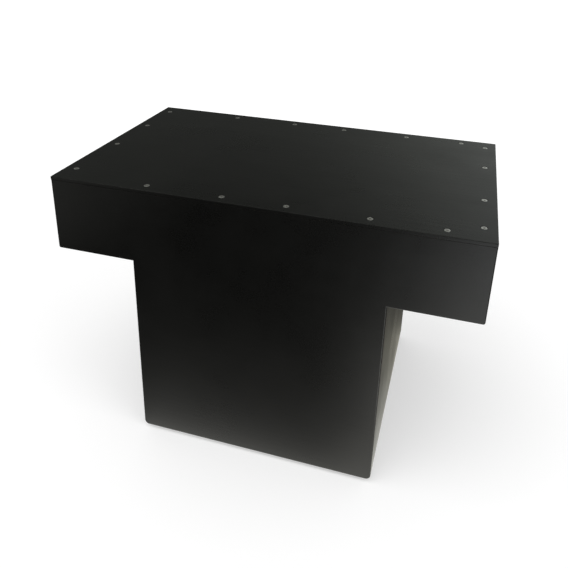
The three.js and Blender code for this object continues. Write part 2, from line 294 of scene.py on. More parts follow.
backdrop = add(tree, "ShaderNodeBackground", {
    "Color": vary(tree, rays["Is Glossy Ray"], (1, 1, 1, 1), hue),
    "Strength": math_node(tree, "MULTIPLY_ADD", level, off_gloss, in_gloss),
}).outputs[0]
add(tree, "ShaderNodeOutputWorld", {"Surface": backdrop})
print("Sky level:", SKY_LEVEL, "with", len(SKY_LOBES), "lobes in its reflection")

# %% The lamps, large and soft
AIM = (0, 0, 0.2)
LAMPS = {  # as (place, size, watts)
    "overhead_panel": ((-0.6, -1.2, 3.0), 2.4, 30),
    "side_panel": ((2.6, -1.0, 1.7), 1.8, 16),
}

for name, (place, size, watts) in LAMPS.items():
    light = bpy.data.lights.new(name, "AREA")
    light.shape = "SQUARE"
    light.size = size
    light.energy = watts
    holder = bpy.data.objects.new(name, light)
    bpy.context.scene.collection.objects.link(holder)
    direction = Vector(AIM) - Vector(place)
    holder.matrix_world = Matrix.Translation(place) @ direction.to_track_quat("-Z", "Y").to_matrix().to_4x4()
    holder.visible_camera = False
    holder.visible_glossy = False
print("Lamps:", sum(watts for place, size, watts in LAMPS.values()), "W")

# %% [markdown]
# ## Mesh helpers
#
# A board can be made by hand from its corners, by a modifier from a flat outline, or by a Boolean from a
# box. For plywood the outline is the best start, because a maker cuts it the same way: draw the outline,
# cut the board, then run a round-over bit along some edges. The outline carries the corner radii, and a
# weight on each edge tells the Bevel modifier how far the bit goes. Round pieces and drill bits are turned
# from the profile of their side, as on a lathe.

# %% From an object with modifiers to a plain mesh
def put(name, mesh):
    """A new object in the scene."""
    piece = bpy.data.objects.new(name, mesh)
    bpy.context.scene.collection.objects.link(piece)
    return piece


def settle(piece):
    """Applies the modifiers, so that the piece is a plain mesh."""
    bpy.context.view_layer.update()
    graph = bpy.context.evaluated_depsgraph_get()
    mesh = bpy.data.meshes.new_from_object(
        piece.evaluated_get(graph), preserve_all_data_layers=True, depsgraph=graph
    )
    piece.modifiers.clear()
    piece.data = mesh
    mesh.name = piece.name
    return piece


def smooth(piece, sharp=35):
    """Smooth rounded edges between flats that stay flat."""
    piece.data.shade_smooth()
    piece.data.set_sharp_from_angle(angle=math.radians(sharp))
    even = piece.modifiers.new("even_flats", "WEIGHTED_NORMAL")
    even.keep_sharp = True
    return settle(piece)


def dress(piece, finish):
    """Gives a piece one finish all over."""
    piece.data.materials.clear()
    piece.data.materials.append(finish)
    return smooth(piece)


def hang(piece, slot, *nodes):
    """Puts a finished piece on the drum, which it rides on, and hides the CAD nodes that it stands for."""
    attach(piece, "root")
    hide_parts(*nodes)
    print(f"{piece.name}: {len(piece.data.polygons)} faces for {len(nodes)} CAD nodes")


print("Piece helpers: put, settle, smooth, dress, hang")

# %% A board from its outline
QUARTER = math.radians(90)
CORNER_STEPS = 6
ROUND_STEPS = 4
EDGE_ROUND = 1.6 * MM


def outline_of(corners):
    """Points round an outline of (x, z, radius) corners, counter-clockwise as seen from -Y."""
    points = []
    for i, (x, z, radius) in enumerate(corners):
        corner = Vector((x, z))
        if radius == 0:
            points.append(corner)
            continue
        back = (Vector(corners[i - 1][:2]) - corner).normalized()
        on = (Vector(corners[(i + 1) % len(corners)][:2]) - corner).normalized()
        centre = corner + (back + on) * radius
        for step in range(CORNER_STEPS + 1):
            angle = QUARTER * step / CORNER_STEPS
            points.append(centre - on * (radius * math.cos(angle)) - back * (radius * math.sin(angle)))
    return points


def mesh_from(made, name):
    """Turns a bmesh into a mesh and frees it."""
    mesh = bpy.data.meshes.new(name)
    made.to_mesh(mesh)
    made.free()
    return mesh


def rounded(name, made, radius_of, widest):
    """Rounds the edges of a bmesh and makes it a plain piece."""
    weights = made.edges.layers.float.new("bevel_weight_edge")
    for edge in made.edges:
        ends = [corner.co.copy() for corner in edge.verts]
        edge[weights] = radius_of(*ends) / widest
    piece = put(name, mesh_from(made, name))
    bit = piece.modifiers.new("rounded_edges", "BEVEL")
    bit.limit_method = "WEIGHT"
    bit.width = widest
    bit.segments = ROUND_STEPS
    bit.use_clamp_overlap = False
    return settle(piece)


def board(name, corners, y0, y1, radius_of, widest=EDGE_ROUND):
    """A board with this outline from y0 to y1; radius_of says how far each edge is rounded."""
    points = outline_of(corners)
    made = bmesh.new()
    near = [made.verts.new((x, y0, z)) for x, z in points]
    far = [made.verts.new((x, y1, z)) for x, z in points]
    made.faces.new(near)
    made.faces.new(far[::-1])
    for i in range(len(points)):
        j = (i + 1) % len(points)
        made.faces.new((near[i], far[i], far[j], near[j]))
    return rounded(name, made, radius_of, widest)


test_square = outline_of([(0, 0, 1), (9, 0, 1), (9, 9, 1), (0, 9, 1)])
print("Outline helper:", len(test_square), "points on a test square")

# %% Turned shapes and cuts
def turned(name, profile, sides, ring=False):
    """A shape turned about the Z axis. A ring's profile is a closed loop, and the others end on the axis."""
    made = bmesh.new()
    rows = []
    for radius, height in profile:
        turns = [math.tau * k / sides for k in range(sides)] if radius else [0]
        rows.append([made.verts.new((radius * math.cos(t), radius * math.sin(t), height)) for t in turns])
    for low, high in zip(rows, rows[1:] + rows[:1] if ring else rows[1:]):
        for k in range(sides):
            n = (k + 1) % sides
            loop = [low[k % len(low)], low[n % len(low)], high[n % len(high)], high[k % len(high)]]
            made.faces.new(list(dict.fromkeys(loop)))
    bmesh.ops.recalc_face_normals(made, faces=made.faces)
    return mesh_from(made, name)


def copies(mesh, places):
    """One mesh from copies of a mesh, one at each place."""
    made = bmesh.new()
    for place in places:
        copy = mesh.copy()
        copy.transform(Matrix.Translation(place))
        made.from_mesh(copy)
        bpy.data.meshes.remove(copy)
    return mesh_from(made, "cutter")


def cut(piece, cutter_mesh):
    """Cuts a mesh out of a piece."""
    cutter = put("cutter", cutter_mesh)
    saw = piece.modifiers.new("cut", "BOOLEAN")
    saw.operation = "DIFFERENCE"
    saw.solver = "EXACT"
    saw.object = cutter
    settle(piece)
    bpy.data.objects.remove(cutter, do_unlink=True)


test_pin = turned("test_pin", [(0, 0), (1, 0), (1, 1), (0, 1)], sides=12)
print("Turned helper:", len(test_pin.polygons), "faces on a test pin")

# %% [markdown]
# ## Black satin paint
#
# Rolled paint on plywood is never one black. The roller leaves a fine stipple that breaks up the shine, the
# grain of the veneer still lifts the film in long, faint ridges, and the sheet is not quite flat over a
# hand's width. Hands and bags polish the film and rub it thin on the rounded edges, which are painted
# lighter, partly as worn paint and partly as a painted highlight, and on the cut edges of a panel the plies
# show through it as lines. A picture could hold all this, but noise in the object's own coordinates has no
# seams and stays sharp in a close view. Each scale goes into its own Bump node, the roughness varies with
# the same noise as the colour, and the mesh says where there is worn paint with a painted highlight, or a
# cut edge.

# %% What every finish starts from
PLY_LAYER = 1.33 * MM


def new_finish(name):
    """A new material, with its tree and the object's own coordinates."""
    finish = bpy.data.materials.new(name)
    finish.use_nodes = True
    tree = finish.node_tree
    return finish, tree, add(tree, "ShaderNodeTexCoord").outputs["Object"]


def clad(finish, **sources):
    """Feeds the shader's inputs that vary over the surface, and sets the constant ones."""
    shader = finish.node_tree.nodes["Principled BSDF"]
    for label, source in sources.items():
        socket = shader.inputs[label.replace("_", " ")]
        if isinstance(source, bpy.types.NodeSocket):
            finish.node_tree.links.new(source, socket)
        else:
            socket.default_value = source
    return finish


def noise(tree, vector, scale, detail, roughness=0.5, distortion=0.0):
    """A factor that varies in space."""
    return add(tree, "ShaderNodeTexNoise", {
        "Vector": vector, "Scale": scale, "Detail": detail, "Roughness": roughness, "Distortion": distortion,
    }).outputs[0]


def relief(tree, height, distance, on_top_of=None):
    """A bump, on top of another one where that is given."""
    inputs = {"Height": height, "Distance": distance}
    if on_top_of is not None:
        inputs["Normal"] = on_top_of
    return add(tree, "ShaderNodeBump", inputs).outputs[0]


def mark(tree, name):
    """A value that the mesh carries on its faces."""
    return add(tree, "ShaderNodeAttribute", attribute_name=name).outputs["Fac"]


def plies(tree, across):
    """Rises and falls between zero and one from ply to ply."""
    return math_node(tree, "DIVIDE", math_node(tree, "PINGPONG", across, PLY_LAYER), PLY_LAYER)


print("Helpers for the finishes, with plies of", round(PLY_LAYER / MM, 2), "mm")

# %% The paint
BLACK_LOW = (0.0022, 0.0022, 0.0019, 1)
BLACK_HIGH = (0.0042, 0.0042, 0.0037, 1)
# a lighter grey for the rounded edges: worn paint, and partly a painted highlight
EDGE_WEAR_AND_HIGHLIGHT = (0.024, 0.0235, 0.0225, 1)
PAINT_ROUGHNESS = (0.24, 0.37)
PLY_WAVE = 0.4 * MM
SHEET_RELIEF = 0.35 * MM
PLY_RELIEF = 0.06 * MM
GRAIN_RELIEF = 0.07 * MM
STIPPLE_RELIEF = 0.045 * MM


def satin_paint(name, grain):
    """Black satin paint over a veneer whose grain is long where the grain scale is small."""
    finish, tree, spot = new_finish(name)
    along = add(tree, "ShaderNodeMapping", {"Vector": spot, "Scale": grain}).outputs[0]
    cloud = noise(tree, spot, scale=11, detail=4, roughness=0.6)
    stipple = noise(tree, spot, scale=620, detail=2, roughness=0.55)
    ridges = noise(tree, along, scale=1, detail=3, roughness=0.6)
    sheet = noise(tree, spot, scale=16, detail=1)
    specks = noise(tree, spot, scale=240, detail=4, roughness=0.75)

    tone = math_node(tree, "MULTIPLY_ADD", stipple, 0.3, math_node(tree, "MULTIPLY", cloud, 0.7))
    film = vary(tree, ramp(tree, tone, 0.36, 0.66), BLACK_LOW, BLACK_HIGH)
    patchy = ramp(tree, cloud, 0.42, 0.62, 0.25, 1.0)
    # wear and painted highlight: the rounded edges turn lighter in specks and patches
    wear_and_highlight_specks = math_node(tree, "MULTIPLY", ramp(tree, specks, 0.45, 0.7), patchy)
    wear_and_highlight = math_node(tree, "MULTIPLY", mark(tree, "rubbed"), wear_and_highlight_specks)

    across = add(tree, "ShaderNodeSeparateXYZ", {0: spot}).outputs["Y"]
    wavy = math_node(tree, "MULTIPLY_ADD", cloud, PLY_WAVE, across)
    layered = math_node(tree, "MULTIPLY", ramp(tree, plies(tree, wavy), 0.3, 0.7), mark(tree, "cut_edge"))
    uneven = math_node(tree, "MULTIPLY_ADD", specks, 0.35, cloud)
    flat = relief(tree, sheet, SHEET_RELIEF)
    sawn = relief(tree, layered, PLY_RELIEF, flat)
    lifted = relief(tree, ridges, GRAIN_RELIEF, sawn)
    return clad(
        finish,
        Base_Color=vary(tree, wear_and_highlight, film, EDGE_WEAR_AND_HIGHLIGHT),
        Roughness=ramp(tree, uneven, 0.4, 1.0, *PAINT_ROUGHNESS),
        Normal=relief(tree, stipple, STIPPLE_RELIEF, lifted),
        IOR=1.5,
    )


paint_wide = satin_paint("black_paint", grain=(9, 230, 230))
paint_deep = satin_paint("black_paint_sides", grain=(230, 9, 230))
print("Paint finishes:", paint_wide.name, paint_deep.name)

# %% [markdown]
# ## Bare wood
#
# Nobody paints the inside of a drum, so the port shows birch veneer, and the battens are planed softwood.
# Wood grain is noise that is stretched along the board: the same noise, sampled a dozen or more times a
# metre along the grain and hundreds of times across it, gives fibres. Early and late rings are a slower
# noise of the same kind, and it sets most of the colour, while the fibres set the roughness and a very
# small bump. A sawn edge of plywood shows its layers, light where the grain runs along the edge and dark
# where it ends there.

# %% The woods
FIBRE_RELIEF = 0.08 * MM
PORE_RELIEF = 0.1 * MM


def wood(name, light, dark, grain, figure):
    """A bare wood whose grain runs where the grain scale is small."""
    finish, tree, spot = new_finish(name)
    along = add(tree, "ShaderNodeMapping", {"Vector": spot, "Scale": grain}).outputs[0]
    rings = noise(tree, along, scale=figure, detail=3, distortion=0.6)
    fibres = noise(tree, along, scale=6 * figure, detail=4, roughness=0.7)
    patches = noise(tree, spot, scale=9, detail=2)
    tone = math_node(tree, "MULTIPLY_ADD", fibres, 0.35, math_node(tree, "MULTIPLY", rings, 0.65))
    tone = math_node(tree, "MULTIPLY_ADD", math_node(tree, "SUBTRACT", patches, 0.5), 0.25, tone)
    return clad(
        finish,
        Base_Color=vary(tree, ramp(tree, tone, 0.38, 0.64), light, dark),
        Roughness=ramp(tree, fibres, 0.3, 0.7, 0.6, 0.78),
        Normal=relief(tree, fibres, FIBRE_RELIEF),
    )


BIRCH = ((0.61, 0.43, 0.235, 1), (0.45, 0.285, 0.13, 1))
BIRCH_ENDS = (0.30, 0.175, 0.075, 1)
PINE = ((0.60, 0.385, 0.185, 1), (0.36, 0.185, 0.07, 1))
ALONG = {"x": (0.06, 1, 1), "y": (1, 0.06, 1), "z": (1, 1, 0.06)}
birch_wide = wood("bare_birch", *BIRCH, ALONG["x"], figure=38)
birch_deep = wood("bare_birch_sides", *BIRCH, ALONG["y"], figure=38)
pine = [wood("bare_pine_" + axis, *PINE, along, figure=90) for axis, along in ALONG.items()]

bare_edge, tree, spot = new_finish("bare_birch_edge")
layers = plies(tree, add(tree, "ShaderNodeSeparateXYZ", {0: spot}).outputs["X"])
pores = noise(tree, spot, scale=900, detail=3)
ends = math_node(tree, "MULTIPLY", ramp(tree, layers, 0.4, 0.6), ramp(tree, pores, 0.3, 0.6, 0.6, 1.0))
clad(
    bare_edge,
    Base_Color=vary(tree, ends, BIRCH[0], BIRCH_ENDS),
    Roughness=ramp(tree, pores, 0.3, 0.7, 0.65, 0.85),
    Normal=relief(tree, pores, PORE_RELIEF),
)
print("Woods:", birch_wide.name, birch_deep.name, bare_edge.name, [finish.name for finish in pine])

# %% [markdown]
# ## Metals and rubber
#
# The screws have a dull, blotched zinc plate with painted shade in the recess, which is darker and rougher
# there, the snare is bright drawn wire, and the feet are moulded rubber with a dusty bloom. A metal's colour
# is the colour of its reflection, so zinc and steel are one finish with other base colours, another
# roughness and larger or smaller blotches.
# Rubber is dark and rough, and slightly paler where dust has settled.

# %% The metals and the rubber
# painted shade in the screws' cross recess: a darker grey there, with the roughness below
RECESS_SHADE = (0.50, 0.48, 0.45, 1)
RECESS_ROUGHNESS = 0.6
PLATING_RELIEF = 0.01 * MM


def metal(name, bright, dull, rough, scale):
    """A metal with blotches of two tones and of two roughnesses, and painted shade, darker and rougher, where
    "recess" is one.
    """
    finish, tree, spot = new_finish(name)
    blotch = noise(tree, spot, scale=scale, detail=4, roughness=0.65)
    fine = noise(tree, spot, scale=6 * scale, detail=2)
    # painted shade: the cross recess is darker and rougher than the open head
    recess_shade = math_node(tree, "MULTIPLY", mark(tree, "recess"), ramp(tree, fine, 0.3, 0.6, 0.7, 1.0))
    plated = vary(tree, ramp(tree, blotch, 0.35, 0.65), bright, dull)
    plated_rough = ramp(tree, blotch, 0.3, 0.7, *rough)
    recess_rough = math_node(tree, "MULTIPLY", recess_shade, RECESS_ROUGHNESS)
    return clad(
        finish,
        Metallic=1.0,
        Base_Color=vary(tree, recess_shade, plated, RECESS_SHADE),
        Roughness=math_node(tree, "MAXIMUM", plated_rough, recess_rough),
        Normal=relief(tree, fine, PLATING_RELIEF),
    )


zinc = metal(
    "zinc_plate", bright=(0.90, 0.89, 0.86, 1), dull=(0.74, 0.73, 0.70, 1), rough=(0.28, 0.42), scale=420
)
steel = metal(
    "snare_steel", bright=(0.82, 0.83, 0.85, 1), dull=(0.62, 0.63, 0.66, 1), rough=(0.16, 0.3), scale=300
)

RUBBER_BLACK = (0.012, 0.012, 0.012, 1)
RUBBER_DUST = (0.035, 0.034, 0.032, 1)
RUBBER_RELIEF = 0.03 * MM
rubber, tree, spot = new_finish("foot_rubber")
bloom = noise(tree, spot, scale=160, detail=5, roughness=0.7)
clad(
    rubber,
    Base_Color=vary(tree, ramp(tree, bloom, 0.4, 0.75), RUBBER_BLACK, RUBBER_DUST),
    Roughness=ramp(tree, bloom, 0.3, 0.7, 0.62, 0.85),
    Normal=relief(tree, noise(tree, spot, scale=1500, detail=2), RUBBER_RELIEF),
)
print("Metals and rubber:", zinc.name, steel.name, rubber.name)

# %% [markdown]
# ## The painted boards
#
# The box is glued butt to butt: the two T-shaped panels cover the ends of all the side boards.
# One bevel all round each board would be quick, but then the seams would be as broad as the outer edges. So
# only the panels have a broad round-over, and where two boards meet, each has a fine broken edge that shows
# through the paint as a hairline. The faces inside the box keep their bare veneer, which is a second
# material on the same piece. Every board takes its corners from the CAD node that it stands for.

# %% Finishing a painted board
PANEL_LOW, PANEL_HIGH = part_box("front_panel")
REAR_LOW, REAR_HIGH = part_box("rear_panel")
PLATE_LOW, PLATE_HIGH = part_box("top_plate")
WING_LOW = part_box("left_wing_floor")[0][2]
LEG_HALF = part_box("leg_right_side")[1][0]
LEG_CORNER_ROUND = 6 * MM
CORNER_WEAR_AND_HIGHLIGHT = 0.3  # the leg's lower corners get less of the worn paint and painted highlight than the round-overs
FACING = 0.9  # a face looks in a direction when so much of its normal does
FLAT = 0.995  # and is flat when so much of its normal lies along one axis
SIDEWAYS = 0.5  # a face of a panel's cut edge has less than this of its normal along Y
LEG_SIDEWAYS = 0.1  # and one of the leg's corners, clear of the round-over, still less
TOUCHING = 0.01 * MM


def painted(piece, paint, veneer, inside, sawn=(0, 0, 0)):
    """Paints a board, but for the faces that look in the inside direction, which keep their veneer, and in
    the sawn direction, which show their plies. It marks where the paint is worn on the rounded edges, which
    are also painted lighter as a highlight, and the edges of the panels, where the plies show through it."""
    mesh = piece.data
    mesh.materials.clear()
    for finish in (paint, veneer, bare_edge):
        mesh.materials.append(finish)
    rubbed = mesh.attributes.new("rubbed", "FLOAT", "FACE")
    cut_edge = mesh.attributes.new("cut_edge", "FLOAT", "FACE")
    for face in mesh.polygons:
        if face.normal.dot(Vector(sawn)) > FACING:
            face.material_index = 2
        else:
            face.material_index = int(face.normal.dot(Vector(inside)) > FACING)
        across = abs(face.normal.y)
        on_a_round = max(abs(part) for part in face.normal) < FLAT
        at_the_joint = abs(face.center.z - PLATE_LOW[2]) < MM
        in_a_panel = not PANEL_HIGH[1] < face.center.y < REAR_LOW[1]
        on_the_leg_corner = face.center.z < PANEL_LOW[2] + LEG_CORNER_ROUND and across < LEG_SIDEWAYS
        # the rounded edges get the lighter paint: wear, and partly a painted highlight
        if on_a_round and not at_the_joint:
            rubbed.data[face.index].value = CORNER_WEAR_AND_HIGHLIGHT if on_the_leg_corner else 1.0
        cut_edge.data[face.index].value = float(in_a_panel and across < SIDEWAYS)
    return smooth(piece)


def at(a, b, axis, value):
    """Whether both ends of an edge lie at this value on an axis."""
    return abs(a[axis] - value) < TOUCHING and abs(b[axis] - value) < TOUCHING


print("Panels reach up to", round(PANEL_HIGH[2], 4), "m, and the wings begin at", round(WING_LOW, 4), "m")

# %% The front panel
SEAM = 0.25 * MM  # the broken edge where two boards meet, which shows as a fine line in the paint
CORNER_ROUND = 2.5 * MM


def t_corners():
    """The corners of the T, with the radius of each."""
    half, top, foot = PANEL_HIGH[0], PANEL_HIGH[2], PANEL_LOW[2]
    return [
        (-LEG_HALF, foot, LEG_CORNER_ROUND),
        (LEG_HALF, foot, LEG_CORNER_ROUND),
        (LEG_HALF, WING_LOW, 0),
        (half, WING_LOW, CORNER_ROUND),
        (half, top, 0),
        (-half, top, 0),
        (-half, WING_LOW, CORNER_ROUND),
        (-LEG_HALF, WING_LOW, 0),
    ]


def t_panel(name, low, high, outer, inner):
    """A T-shaped panel. The round-over runs round the outer face, and the seams are only broken."""
    def radius_of(a, b):
        if at(a, b, 2, PANEL_HIGH[2]):
            return SEAM / 2
        if at(a, b, 1, outer):
            return EDGE_ROUND
        return SEAM if at(a, b, 1, inner) else 0

    return board(name, t_corners(), low, high, radius_of)


front = t_panel("painted_front_panel", PANEL_LOW[1], PANEL_HIGH[1], outer=PANEL_LOW[1], inner=PANEL_HIGH[1])
painted(front, paint_wide, birch_wide, (0, 1, 0))
hang(front, "black_paint", "front_panel")

# %% The rear panel with its routed port
PORT_PLACE = (0, REAR_LOW[1], 0.115)
PORT_RADIUS = 50 * MM
PORT_FLARE = 3 * MM
PORT_BREAK = 0.6 * MM
PORT_STEPS = 5
PORT_SIDES = 96
BIT_SPARE = 2 * MM  # how far the bit stands out on either side

thick = REAR_HIGH[1] - REAR_LOW[1]
flare = [
    (PORT_RADIUS + PORT_FLARE * (1 - math.cos(angle)), thick - PORT_FLARE * (1 - math.sin(angle)))
    for angle in (QUARTER * step / PORT_STEPS for step in range(PORT_STEPS + 1))
]
port_bit = turned("port_bit", [
    (0, -BIT_SPARE),
    (PORT_RADIUS + PORT_BREAK, -BIT_SPARE),
    (PORT_RADIUS + PORT_BREAK, 0),
    (PORT_RADIUS, PORT_BREAK),
    *flare,
    (PORT_RADIUS + PORT_FLARE, thick + BIT_SPARE),
    (0, thick + BIT_SPARE),
], PORT_SIDES)
port_bit.transform(Matrix.Translation(PORT_PLACE) @ Matrix.Rotation(-QUARTER, 4, "X"))

rear = t_panel("painted_rear_panel", REAR_LOW[1], REAR_HIGH[1], outer=REAR_HIGH[1], inner=REAR_LOW[1])
cut(rear, port_bit)
painted(rear, paint_wide, birch_wide, (0, -1, 0))
hang(rear, "black_paint", "rear_panel")
print("Port:", round(2 * PORT_RADIUS, 4), "m wide")

# %% The end panels, wing floors and leg sides
def side_board(node, inside, round_corner=None, radius=0, sawn=(0, 0, 0)):
    """A board of one side. Its rounded corner is given as (x, z), and its ends reach the two panels."""
    low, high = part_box(node)
    corners = [
        (x, z, radius if (x, z) == round_corner else 0)
        for x, z in ((low[0], low[2]), (high[0], low[2]), (high[0], high[2]), (low[0], high[2]))
    ]
    sharp = {(round(x, 6), round(z, 6)) for x, z, radius_here in corners if radius_here == 0}

    def radius_of(a, b):
        """The steps of a rounded corner stay as they are, and every other edge is broken."""
        lengthwise = abs(a[1] - b[1]) > MM
        return 0 if lengthwise and (round(a[0], 6), round(a[2], 6)) not in sharp else SEAM

    piece = board("painted_" + node, corners, PANEL_HIGH[1], REAR_LOW[1], radius_of, widest=SEAM)
    painted(piece, paint_deep, birch_deep, inside, sawn)
    hang(piece, "black_paint", node)


for side, word in ((-1, "left"), (1, "right")):
    outer = max(side, 0)
    end_box, leg_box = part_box(word + "_end_panel"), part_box(f"leg_{word}_side")
    end_corner, leg_corner = [(box[outer][0], box[0][2]) for box in (end_box, leg_box)]
    side_board(word + "_end_panel", (-side, 0, 0), end_corner, CORNER_ROUND)
    side_board(f"leg_{word}_side", (-side, 0, 0), leg_corner, LEG_CORNER_ROUND, sawn=(0, 0, 1))
    side_board(word + "_wing_floor", (0, 0, 1))

# %% [markdown]
# ## Softening a CAD piece
#
# The battens, the snare bars, their clamps and the leg's floor are plain shapes, but with drilled holes in
# just the right places. Drawing those again would risk a mistake. A copy of the CAD mesh is merged, its
# flat faces are joined, and then the plane or the file has its turn: every long edge is broken by a
# fraction of a millimetre. The CAD mesh itself stays as it is.

# %% The softened copy
SAME_POINT = 0.001 * MM
SAME_PLANE = math.radians(1)


def softened(name, node, radius, shortest):
    """A copy of a CAD node with its edges longer than shortest rounded to a radius."""
    made = bmesh.new()
    made.from_mesh(frame["nodes"][node].data)
    made.transform(frame["nodes"][node].matrix_world)
    bmesh.ops.remove_doubles(made, verts=made.verts, dist=SAME_POINT)
    bmesh.ops.dissolve_limit(made, angle_limit=SAME_PLANE, verts=made.verts, edges=made.edges)
    return rounded(name, made, lambda a, b: radius if (a - b).length > shortest else 0, radius)


leg_floor = softened("painted_leg_floor", "leg_floor", SEAM, shortest=100 * MM)
painted(leg_floor, paint_wide, birch_wide, (0, 0, 1))
hang(leg_floor, "black_paint", "leg_floor")

# %% The battens and the snare bars
PLANED = 0.8 * MM
LEG_CORNERS = ("front_left", "front_right", "rear_left", "rear_right")

bars = [word + "_top_batten" for word in ("front", "rear", "left", "right")]
bars += ["leg_batten_" + word for word in LEG_CORNERS]
bars += ["left_snare_bar", "right_snare_bar"]
for node in bars:
    low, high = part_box(node)
    spans = [high[axis] - low[axis] for axis in range(3)]
    bar = softened("planed_" + node, node, PLANED, shortest=12 * MM)
    dress(bar, pine[spans.index(max(spans))])
    hang(bar, "bare_wood", node)

# %% [markdown]
# ## The playing plate
#
# The plate is one thin sheet over the whole top. Its upper edge is rounded so that it does not hurt the
# hands, and eighteen screws hold it down to the battens. The maker drilled for them by hand, so the rows
# are not quite even; the CAD nodes say where each one is. The countersinks are cut with one Boolean, from a
# cutter that has all eighteen bits in it, because one exact cut is quicker and cleaner than eighteen.

# %% The plate with its countersinks
PLATE_ROUND = 0.6 * MM
PLATE_SEAM = 0.4 * MM  # the underside, whose shadow line is the joint that is taken apart now and then
SCREW_SHANK = 1.75 * MM
SHANK_HOLE = SCREW_SHANK + 0.12 * MM
COUNTERSINK = 3.7 * MM  # drilled a little wide, so a dark ring shows round each head
BROKEN_RIM = COUNTERSINK + 0.22 * MM
SCREW_SIDES = 40


def over(node, height):
    """The point at this height over the middle of a CAD node's box."""
    low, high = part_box(node)
    return Vector(((low[0] + high[0]) / 2, (low[1] + high[1]) / 2, height))


def straight(low, high):
    """The four sharp corners of a straight board, from (x, z) to (x, z)."""
    return [(low[0], low[1], 0), (high[0], low[1], 0), (high[0], high[1], 0), (low[0], high[1], 0)]


def plate_rounds(a, b):
    """The plate is rounded all round its top and up its corners, and its underside is only broken."""
    return PLATE_SEAM if at(a, b, 2, PLATE_LOW[2]) else PLATE_ROUND


screw_nodes = [f"top_plate_screw_{number:02d}" for number in range(1, 19)]
screw_places = [over(node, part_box(node)[1][2]) for node in screw_nodes]
plate = board(
    "painted_top_plate", straight(PLATE_LOW.xz, PLATE_HIGH.xz), PLATE_LOW[1], PLATE_HIGH[1],
    plate_rounds, widest=PLATE_ROUND,
)
countersink_bit = turned("countersink_bit", [
    (0, -7 * MM),
    (SHANK_HOLE, -7 * MM),
    (SHANK_HOLE, -2.6 * MM),
    (COUNTERSINK, -0.55 * MM),
    (COUNTERSINK, -0.05 * MM),
    (BROKEN_RIM, 0.17 * MM),
    (BROKEN_RIM, 2 * MM),
    (0, 2 * MM),
], SCREW_SIDES)
cut(plate, copies(countersink_bit, screw_places))
painted(plate, paint_wide, birch_wide, (0, 0, -1))
hang(plate, "black_paint", "top_plate")

# %% [markdown]
# ## The plate's screws
#
# A countersunk wood screw has a flat head with a cross recess whose walls taper to the bit's point. One
# screw is turned and cut here in full. Geometry Nodes then set it on the eighteen places: the tree takes
# the places as points, gives each screw its own turn from a seed, leans it by about a degree at most, as a
# hand-driven screw leans, and sinks it by its own hair's breadth. Copies made by hand would all look alike,
# and a tree with named inputs can be used again for the screws of the snares and the feet.

# %% One countersunk screw
SCREW_HEAD = 3.3 * MM
SCREW_LENGTH = 20 * MM
RECESS_REACH = 0.66 * SCREW_HEAD
RECESS_FLOOR, RECESS_RIM = -2 * MM, -0.3 * MM  # between these depths under the crown, the recess gets its painted shade
BIT_TOP = 0.3 * MM
BIT_TIP = 0.34  # an arm's half width at the tip, as a share of its width at the top
BIT_HOLLOW = 1.45  # how far out two arms meet, as a share of their half width


def cross_bit(reach, width, depth, tip):
    """The point of a cross driver, as a closed mesh whose top is just above height zero."""
    rings = []
    for height, arm, half in ((BIT_TOP, reach, width / 2), (-depth, reach * tip, width * BIT_TIP)):
        hollow = half * BIT_HOLLOW
        quarter = [Vector((arm, -half)), Vector((arm, half)), Vector((hollow, hollow))]
        ring = [Matrix.Rotation(QUARTER * k, 2) @ point for k in range(4) for point in quarter]
        rings.append([(point.x, point.y, height) for point in ring])
    made = bmesh.new()
    high, low = [[made.verts.new(point) for point in ring] for ring in rings]
    made.faces.new(high)
    made.faces.new(low[::-1])
    for i in range(len(high)):
        j = (i + 1) % len(high)
        made.faces.new((high[j], high[i], low[i], low[j]))
    bmesh.ops.recalc_face_normals(made, faces=made.faces)
    return mesh_from(made, "cross_bit")


def screw(name, side, driver):
    """A screw from the profile of its side, with the driver's recess cut into its head."""
    piece = put(name, turned(name, side, SCREW_SIDES))
    crown = max(corner.co.z for corner in piece.data.vertices)
    cut(piece, driver)
    # the faces of the recess, which the zinc finish darkens as painted shade
    recess = piece.data.attributes.new("recess", "FLOAT", "FACE")
    for face in piece.data.polygons:
        central = max(math.hypot(*piece.data.vertices[i].co.xy) for i in face.vertices) < RECESS_REACH
        recess.data[face.index].value = float(central and RECESS_FLOOR < face.center.z - crown < RECESS_RIM)
    return smooth(piece, sharp=30)


countersunk = screw(
    "countersunk_screw",
    [
        (0, 0),
        (SCREW_HEAD - 0.30 * MM, 0),
        (SCREW_HEAD - 0.10 * MM, -0.06 * MM),
        (SCREW_HEAD, -0.2 * MM),
        (SCREW_HEAD, -0.42 * MM),
        (SCREW_SHANK, -2.4 * MM),
        (SCREW_SHANK, -SCREW_LENGTH + 3 * MM),
        (0, -SCREW_LENGTH),
    ],
    cross_bit(reach=1.75 * MM, width=0.85 * MM, depth=1.6 * MM, tip=0.42),
)
print("One plate screw:", len(countersunk.data.polygons), "faces")

# %% Helpers for Geometry Nodes
def new_tree(name, inputs):
    """A Geometry Nodes tree with these named inputs and one geometry output."""
    tree = bpy.data.node_groups.new(name, "GeometryNodeTree")
    tree.interface.new_socket("Start", in_out="INPUT", socket_type="NodeSocketGeometry")
    for label, kind in inputs.items():
        tree.interface.new_socket(label, in_out="INPUT", socket_type="NodeSocket" + kind)
    tree.interface.new_socket("Result", in_out="OUTPUT", socket_type="NodeSocketGeometry")
    return tree, add(tree, "NodeGroupInput").outputs


def vector(tree, x=0.0, y=0.0, z=0.0):
    """A vector from its three parts."""
    return add(tree, "ShaderNodeCombineXYZ", {0: x, 1: y, 2: z}).outputs[0]


